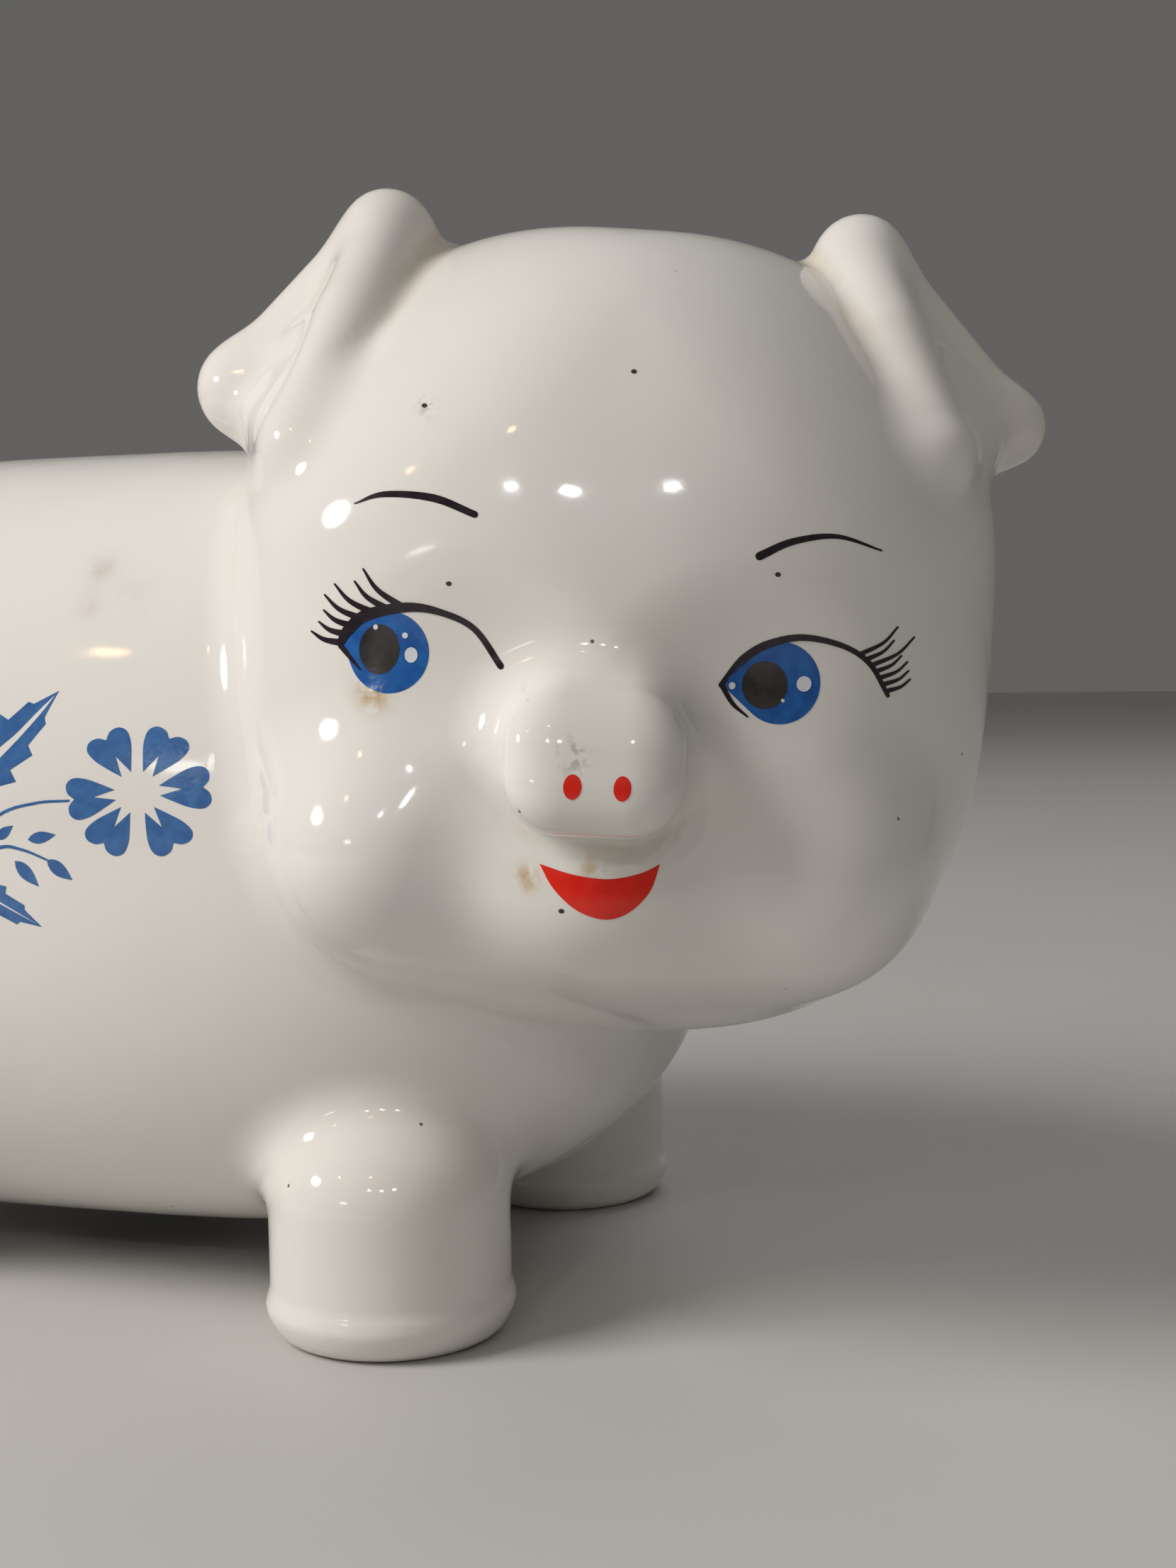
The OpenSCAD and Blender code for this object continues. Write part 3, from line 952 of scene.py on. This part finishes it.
def glaze():
    material, tree, shader = new_material("white_glaze", (0.8, 0.78, 0.73), 0.08)
    cloud = spread(tree, noise(tree, 16, 3), 0.35, 0.7)
    colour = mixed(tree, cloud, (0.78, 0.762, 0.728), (0.755, 0.728, 0.68))
    pool = times(tree, value_on(tree, "pool"), spread(tree, noise(tree, 110, 3), 0.3, 0.7, 0.35, 1.0))
    colour = mixed(tree, spread(tree, pool, 0.1, 0.65, 0.0, 0.85), colour, (0.60, 0.47, 0.27))
    stain = times(tree, value_on(tree, "stain"), spread(tree, noise(tree, 420, 4), 0.34, 0.54))
    colour = mixed(tree, stain, colour, (0.50, 0.32, 0.11))
    scuff = times(tree, value_on(tree, "scuff"), spread(tree, noise(tree, 700, 4), 0.5, 0.62))
    colour = mixed(tree, scuff, colour, (0.33, 0.32, 0.31))
    smudge = times(tree, value_on(tree, "smudge"), spread(tree, noise(tree, 160, 4), 0.35, 0.65, 0.15, 1.0))
    colour = mixed(tree, smudge, colour, (0.50, 0.43, 0.38))
    colour = mixed(tree, specks(tree, 260, 0.11, 0.03), colour, (0.10, 0.085, 0.07))
    bare = value_on(tree, "bare")
    grain = spread(tree, noise(tree, 900, 4), 0.3, 0.7)
    clay = mixed(tree, grain, (0.70, 0.63, 0.52), (0.58, 0.51, 0.41))
    tree.links.new(mixed(tree, bare, colour, clay), shader.inputs["Base Color"])
    gloss = spread(tree, noise(tree, 60, 2), 0.3, 0.7, 0.05, 0.11)
    rough = add(tree, "Mix", {0: bare, 2: gloss, 3: 0.75}, data_type="FLOAT").outputs[0]
    tree.links.new(rough, shader.inputs["Roughness"])
    bumped(tree, shader, [waves(tree), (noise(tree, 240, 2), 0.00002),
                          (times(tree, grain, bare), 0.0002)])
    return material


# The two tones of each print.
IRIS_BLUE = ((0.012, 0.085, 0.32), (0.02, 0.13, 0.42))
PUPIL_GREY = ((0.05, 0.045, 0.042), (0.022, 0.02, 0.02))
PRINT_BLACK = ((0.012, 0.008, 0.012), (0.02, 0.013, 0.018))
PRINT_WHITE = ((0.72, 0.75, 0.80), (0.66, 0.69, 0.74))
PRINT_RED = ((0.76, 0.022, 0.008), (0.68, 0.015, 0.007))
FLOWER_BLUE = ((0.035, 0.115, 0.31), (0.055, 0.16, 0.38))


def print_material(name, colour, second, scale, roughness, crinkle):
    """Printed colour in two tones, under a faintly crinkled film."""
    material, tree, shader = new_material(name, colour, roughness)
    tone = spread(tree, noise(tree, scale, 4), 0.35, 0.68)
    tree.links.new(mixed(tree, tone, colour, second), shader.inputs["Base Color"])
    gloss = spread(tree, noise(tree, 500, 2), 0.3, 0.7, roughness * 0.7, roughness * 1.3)
    tree.links.new(gloss, shader.inputs["Roughness"])
    bumped(tree, shader, [waves(tree), (noise(tree, 900, 3), crinkle)])
    return material


def rubber():
    material, tree, shader = new_material("black_rubber", (0.02, 0.019, 0.018), 0.6)
    dust = spread(tree, noise(tree, 60, 5), 0.45, 0.8, 0.0, 0.5)
    colour = mixed(tree, dust, (0.018, 0.017, 0.016), (0.075, 0.07, 0.062))
    tree.links.new(colour, shader.inputs["Base Color"])
    tree.links.new(spread(tree, noise(tree, 200, 3), 0.3, 0.7, 0.5, 0.75), shader.inputs["Roughness"])
    bumped(tree, shader, [(noise(tree, 1500, 3), 0.00006)])
    return material


def floor_material():
    material, tree, shader = new_material("pale_floor", (0.6, 0.59, 0.57), 0.55)
    tone = spread(tree, noise(tree, 3, 4), 0.3, 0.7)
    tree.links.new(mixed(tree, tone, (0.60, 0.59, 0.575), (0.57, 0.56, 0.545)), shader.inputs["Base Color"])
    return material


# ---- camera, light, floor ----
# The camera's place is in mm in the pig's frame, and its turns are in degrees.
CAMERA_PLACE = np.array([160.5, -420.2, 131.7])
CAMERA_TURN = 18.0
CAMERA_DIP = 4.0
CAMERA_ROLL = -1.0
LENS = 48.82
WHITE = (1.0, 1.0, 1.0)
AMBER = (1.0, 0.62, 0.28)
SKY = (0.80, 0.78, 0.75, 1)
SKY_STRENGTH = 0.155
# name, place in metres from the middle of the bank, width, height, watts, colour
SOFT_LAMPS = (
    ("key", (-0.9, -0.8, 0.9), 0.7, 0.7, 18.5, (1.0, 0.97, 0.94)),
    ("fill", (1.2, -1.0, 0.9), 1.0, 1.0, 0.6, (1.0, 0.86, 0.72)),
    ("back", (0.3, 1.1, 1.5), 1.5, 1.0, 7, WHITE),
)
MIRRORED_LAMPS = (
    ("window", (-0.92, -0.66, 0.43), 0.26, 0.20, 1.3, (1.0, 0.98, 0.95)),
    ("lamp_left", (0.11, -1.18, 0.54), 0.055, 0.035, 0.4, WHITE),
    ("lamp_middle", (0.36, -1.14, 0.54), 0.055, 0.035, 0.4, WHITE),
    ("lamp_right", (0.59, -1.03, 0.57), 0.055, 0.035, 0.4, WHITE),
    ("amber_left", (-0.55, -0.92, 0.70), 0.05, 0.035, 0.14, AMBER),
    ("amber_right", (0.08, -1.02, 0.83), 0.05, 0.035, 0.14, AMBER),
    ("low", (-0.38, -1.17, 0.17), 0.16, 0.06, 0.2, WHITE),
)
FLOOR_HALF = 4.0


def make_camera():
    camera = bpy.data.objects.new("camera", bpy.data.cameras.new("camera"))
    bpy.context.scene.collection.objects.link(camera)
    camera.data.lens = LENS
    camera.data.clip_start = 0.01
    camera.rotation_mode = "QUATERNION"
    turn = Matrix.Rotation(math.radians(CAMERA_TURN), 3, "Z")
    dip = Matrix.Rotation(math.radians(90 - CAMERA_DIP), 3, "X")
    roll = Matrix.Rotation(math.radians(CAMERA_ROLL), 3, "Z")
    camera.rotation_quaternion = (turn @ dip @ roll).to_quaternion()
    camera.location = Vector((CAMERA_PLACE + ORIGIN) * MM)
    bpy.context.scene.camera = camera


def softbox(name, place, width, height, power, colour, mirrored):
    """A lamp turned towards the middle of the bank.

    Only a mirrored one shows as a reflection in the glaze; the others light it softly."""
    lamp = bpy.data.lights.new(name, "AREA")
    lamp.shape = "ELLIPSE" if mirrored else "RECTANGLE"
    lamp.size = width
    lamp.size_y = height
    lamp.energy = power
    lamp.color = colour
    holder = bpy.data.objects.new(name, lamp)
    bpy.context.scene.collection.objects.link(holder)
    middle = (CAD_BOUNDS[0] + CAD_BOUNDS[1]) / 2
    holder.location = middle + Vector(place)
    holder.rotation_mode = "QUATERNION"
    holder.rotation_quaternion = (-Vector(place)).to_track_quat("-Z", "Y")
    holder.visible_glossy = mirrored


def make_studio():
    for lamp in SOFT_LAMPS:
        softbox(*lamp, False)
    for lamp in MIRRORED_LAMPS:
        softbox(*lamp, True)
    world = bpy.data.worlds.new("studio")
    bpy.context.scene.world = world
    world.use_nodes = True
    sky = world.node_tree.nodes["Background"]
    sky.inputs["Color"].default_value = SKY
    sky.inputs["Strength"].default_value = SKY_STRENGTH
    bpy.context.scene.view_settings.view_transform = "Standard"


def make_floor():
    half = FLOOR_HALF
    corners = [(-half, -half, 0), (half, -half, 0), (half, half, 0), (-half, half, 0)]
    mesh = bpy.data.meshes.new("floor")
    mesh.from_pydata(corners, [], [(0, 1, 2, 3)])
    floor = bpy.data.objects.new("floor", mesh)
    bpy.context.scene.collection.objects.link(floor)
    floor.data.materials.append(floor_material())


# ---- making ----
TRUNK_VOXEL = 1.8
HEAD_VOXEL = 1.2
SHELL_MARGIN = 6.0
TAIL_MARGIN = 10.0
FLOOR_MARGIN = 3.0
HEAD_REACH = np.array([88, 84, 90])


def glaze_shell(name, field, low, high, voxel, material, nodes):
    piece = field_mesh(name, field, low, high, voxel)
    glaze_values(piece)
    piece.data.materials.append(material)
    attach(piece, "bank")
    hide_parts(*nodes)


def make_shells(material):
    coarser = 1.0
    low = np.array([TRUNK_LOW[0] - TAIL_MARGIN, TRUNK_LOW[1] - SHELL_MARGIN, -FLOOR_MARGIN])
    glaze_shell("body_glazed", body_piece, low, TRUNK_HIGH + SHELL_MARGIN, TRUNK_VOXEL * coarser,
                material, ("body_shell", "tail") + LEG_NODES)
    glaze_shell("head_glazed", head_piece, HEAD_MID - HEAD_REACH, HEAD_MID + HEAD_REACH,
                HEAD_VOXEL * coarser, material, ("head_shell", "snout", "left_ear", "right_ear"))


def make_prints():
    colours = {
        "iris": print_material("iris_blue", *IRIS_BLUE, 400, 0.16, 0.00003),
        "pupil": print_material("pupil_grey", *PUPIL_GREY, 220, 0.2, 0.00002),
        "black": print_material("print_black", *PRINT_BLACK, 600, 0.22, 0.00002),
        "white": print_material("print_white", *PRINT_WHITE, 500, 0.2, 0.00001),
        "red": print_material("print_red", *PRINT_RED, 300, 0.2, 0.00002),
        "blue": print_material("flower_blue", *FLOWER_BLUE, 350, 0.2, 0.00005),
    }
    prints = [(name, outlines, on_face, kind, lift) for name, outlines, kind, lift in face_prints()]
    flowers = list(flower_outlines())
    prints += [("left_flank_flowers", flowers, on_flank(1), "blue", ON_GLAZE)]
    prints += [("right_flank_flowers", flowers, on_flank(-1), "blue", ON_GLAZE)]
    for name, outlines, place, kind, lift in prints:
        piece = print_on(name, outlines, place, lift)
        piece.data.materials.append(colours[kind])
        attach(piece, "bank")


def make_all():
    make_camera()
    make_studio()
    make_floor()
    make_shells(glaze())
    make_prints()
    plug = make_stopper()
    plug.data.materials.append(rubber())
    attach(plug, "stopper")
    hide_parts("stopper")


make_all()
